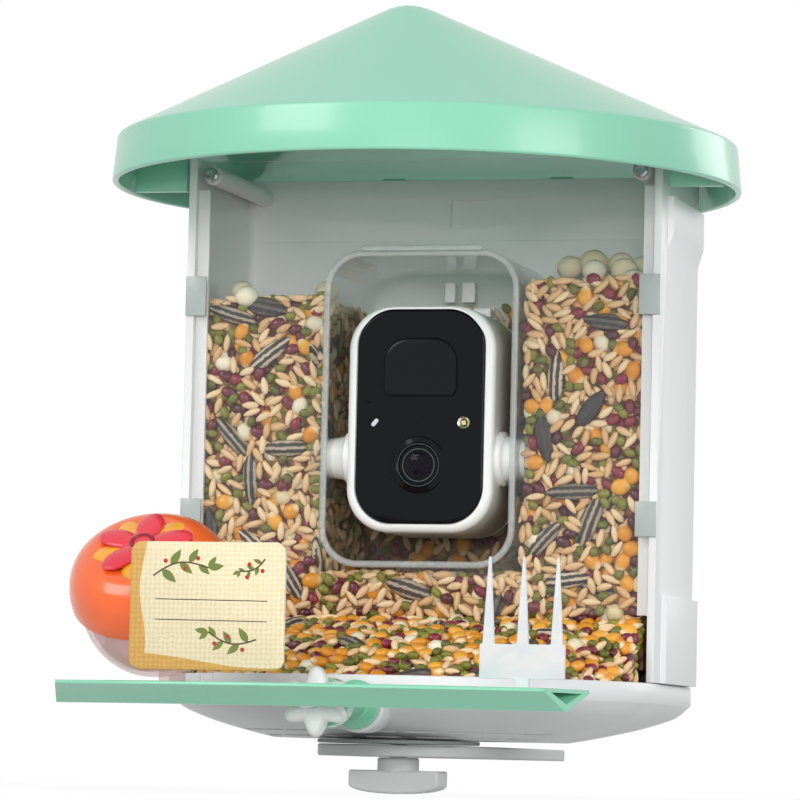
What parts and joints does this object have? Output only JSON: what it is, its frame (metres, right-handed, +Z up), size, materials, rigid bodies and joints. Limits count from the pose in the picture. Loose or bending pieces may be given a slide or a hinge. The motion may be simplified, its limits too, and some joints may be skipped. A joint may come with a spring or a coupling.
{
  "type": "smart bird feeder",
  "caption": "Bird feeder with a clear-fronted seed hopper, a hinged round roof, a tilting camera in a window pocket, a seed tray and a curved perch with plug-in treats.",
  "frame": {"origin": "middle of the underside of the mounting plate across the width, level with the front of the hopper", "axes": "+X to the viewer's right from the front, +Y from the front to the back, +Z up"},
  "size_m": [0.237, 0.287, 0.293],
  "materials": {
    "white_abs": "satin white moulding",
    "mint_abs": "glossy mint green moulding",
    "clear_pc": "clear, polished",
    "black_glass": "polished black",
    "dark_abs": "satin black",
    "zinc_steel": "bright zinc",
    "grey_abs": "satin light grey",
    "seed_mix": "dry mixed seed",
    "grey_tpr": "matte grey",
    "fr4_board": "green solder mask",
    "cell_sleeve": "blue shrink sleeve",
    "sign_board": "woven beige face",
    "frosted_pp": "frosted, translucent",
    "orange_pp": "glossy orange",
    "red_pp": "glossy red",
    "pink_clear_pet": "clear with a pink tint"
  },
  "bodies": {
    "feeder": {"base_tray": "white_abs", "front_window": "clear_pc", "fruit_fork": "frosted_pp", "hopper_shell": "white_abs", "mount_nut": "zinc_steel", "mount_pad": "grey_abs", "mount_plate": "white_abs", "nectar_bowl": "pink_clear_pet", "nectar_foot": "pink_clear_pet", "perch_arm": "mint_abs", "perch_bar": "mint_abs", "perch_stud": "zinc_steel", "pivot_bush_left": "white_abs", "pivot_bush_right": "white_abs", "pocket_block_left": "white_abs", "pocket_block_right": "white_abs", "roof_hinge_pin_left": "zinc_steel", "roof_hinge_pin_right": "zinc_steel", "seed_fill": "seed_mix", "sign_board": "sign_board", "sign_stem": "clear_pc", "window_screw_left": "zinc_steel", "window_screw_right": "zinc_steel"},
    "roof": {"roof": "mint_abs"},
    "camera": {"camera_shell": "white_abs", "camera_glass": "black_glass", "motion_sensor_window": "dark_abs", "motion_sensor": "zinc_steel", "lens_ring": "dark_abs", "lens_barrel": "dark_abs", "lens_glass": "black_glass", "spotlight": "zinc_steel", "status_light": "white_abs", "circuit_board": "fr4_board", "battery_cell_left": "cell_sleeve", "battery_cell_right": "cell_sleeve", "camera_back": "white_abs", "camera_cradle": "white_abs"},
    "power_button": {"power_button": "grey_tpr"},
    "port_flap": {"port_flap": "grey_tpr"},
    "star_knob": {"star_knob": "white_abs"},
    "hand_screw": {"hand_screw": "grey_abs", "mount_bolt": "zinc_steel"},
    "nectar_lid": {"nectar_lid": "orange_pp", "nectar_flower": "red_pp"}
  },
  "joints": [
    {"name": "roof_hinge", "type": "hinge", "parent": "feeder", "child": "roof", "pos_m": [0, 0.083, 0.218], "axis": [-1, 0, 0], "range_deg": [0, 85]},
    {"name": "camera_tilt", "type": "hinge", "parent": "feeder", "child": "camera", "pos_m": [0, 0.0156, 0.1125], "axis": [1, 0, 0], "range_deg": [-10, 10]},
    {"name": "power_button_press", "type": "slide", "parent": "camera", "child": "power_button", "axis": [0, -1, 0], "range_m": [0, 0.0008], "stiffness_N_per_m": 1200},
    {"name": "port_flap_hinge", "type": "hinge", "parent": "camera", "child": "port_flap", "pos_m": [-0.009, 0.0463, 0.0925], "axis": [-1, 0, 0], "range_deg": [0, 100]},
    {"name": "star_knob_turn", "type": "hinge", "parent": "feeder", "child": "star_knob", "pos_m": [0, -0.124, 0.0182], "axis": [0, 1, 0], "continuous": true},
    {"name": "hand_screw_turn", "type": "hinge", "parent": "feeder", "child": "hand_screw", "pos_m": [0, -0.017, 0], "axis": [0, 0, 1], "continuous": true},
    {"name": "nectar_lid_twist", "type": "hinge", "parent": "feeder", "child": "nectar_lid", "pos_m": [-0.0612, -0.1268, 0.0565], "axis": [0, -0.6428, 0.766], "range_deg": [0, 60]}
  ]
}
